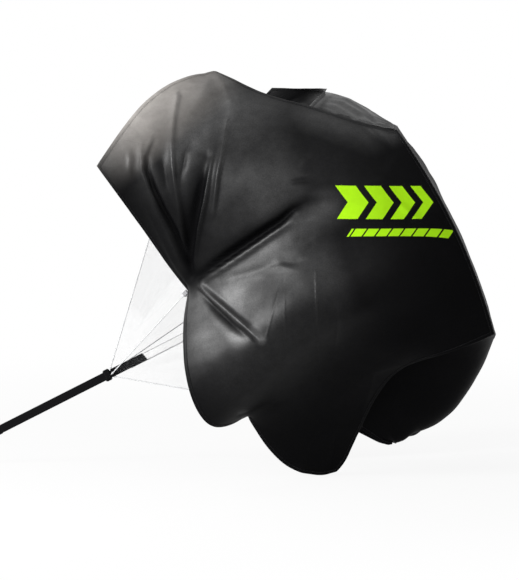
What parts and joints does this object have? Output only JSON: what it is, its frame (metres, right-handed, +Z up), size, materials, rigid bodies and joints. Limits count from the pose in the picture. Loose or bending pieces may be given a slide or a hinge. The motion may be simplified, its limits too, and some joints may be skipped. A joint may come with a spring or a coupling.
{
  "type": "speed parachute",
  "caption": "Resistance parachute for sprint training: black cloth canopy blown open, net cone, tow strap with swivel snap hook, and a waist belt with a side-release buckle.",
  "frame": {"origin": "on the floor, below the middle of the whole part's box", "axes": "+X downwind, from the waist belt towards the canopy's crown; +Z up; the side seen in the picture faces -Y"},
  "size_m": [1.3016, 0.8652, 0.8543],
  "materials": {
    "canopy_cloth": "satin coated taffeta",
    "hem_tape": "matt woven tape",
    "riser_cord": "braided cord",
    "white_net": "fine knitted mesh",
    "black_webbing": "woven webbing",
    "pale_webbing": "woven webbing",
    "steel": "nickel plated",
    "black_plastic": "moulded, fine grain",
    "elastic": "ribbed elastic"
  },
  "bodies": {
    "canopy": {"crown_panel": "canopy_cloth", "near_panel": "canopy_cloth", "top_panel": "canopy_cloth", "far_panel": "canopy_cloth", "bottom_panel": "canopy_cloth", "hem_loop_near": "hem_tape", "hem_loop_top": "hem_tape", "hem_loop_far": "hem_tape", "hem_loop_bottom": "hem_tape", "riser_near": "riser_cord", "riser_top": "riser_cord", "riser_far": "riser_cord", "riser_bottom": "riser_cord", "net_near_top": "white_net", "net_top_far": "white_net", "net_far_bottom": "white_net", "net_bottom_near": "white_net", "net_collar": "black_webbing", "crown_patch": "black_webbing", "inner_strap": "pale_webbing", "tether_strap": "black_webbing", "swivel_eye": "steel"},
    "hook": {"snap_hook": "steel", "gate_pin": "steel"},
    "gate": {"hook_gate": "steel"},
    "ring": {"d_ring": "steel"},
    "keeper": {"ring_keeper": "black_plastic"},
    "belt": {"belt_webbing": "black_webbing", "buckle_female": "black_plastic", "buckle_male": "black_plastic"},
    "prong_upper": {"prong_upper": "black_plastic"},
    "prong_lower": {"prong_lower": "black_plastic"},
    "tail_loop": {"tail_loop": "elastic"}
  },
  "joints": [
    {"name": "swivel_spin", "type": "hinge", "parent": "canopy", "child": "hook", "pos_m": [-0.45929, 0.00043, 0.05312], "axis": [0.8894, 0, 0.4571], "continuous": true},
    {"name": "gate_swing", "type": "hinge", "parent": "hook", "child": "gate", "pos_m": [-0.48032, 0.00943, 0.04231], "axis": [-0.4571, 0, 0.8894], "range_deg": [0, 22], "stiffness_Nm_per_rad": 0.05, "springref_deg": -11.46},
    {"name": "ring_swing", "type": "hinge", "parent": "hook", "child": "ring", "pos_m": [-0.513, 0.00043, 0.023], "axis": [0, 0, 1], "range_deg": [-35, 35]},
    {"name": "keeper_swing", "type": "hinge", "parent": "ring", "child": "keeper", "pos_m": [-0.535, 0.00043, 0.023], "axis": [0, 0, 1], "range_deg": [-50, 50]},
    {"name": "belt_slide", "type": "slide", "parent": "keeper", "child": "belt", "axis": [0, 1, 0], "range_m": [-0.15, 0.15]},
    {"name": "latch_upper", "type": "hinge", "parent": "belt", "child": "prong_upper", "pos_m": [-0.6453, 0.00053, 0.0395], "axis": [1, 0, 0], "range_deg": [-9, 0], "stiffness_Nm_per_rad": 0.3, "springref_deg": 2.86},
    {"name": "latch_lower", "type": "hinge", "parent": "belt", "child": "prong_lower", "pos_m": [-0.6453, 0.00053, 0.0065], "axis": [1, 0, 0], "range_deg": [0, 9], "stiffness_Nm_per_rad": 0.3, "springref_deg": -2.86},
    {"name": "tail_loop_slide", "type": "slide", "parent": "belt", "child": "tail_loop", "axis": [0, 1, 0], "range_m": [-0.04, 0.02]}
  ]
}
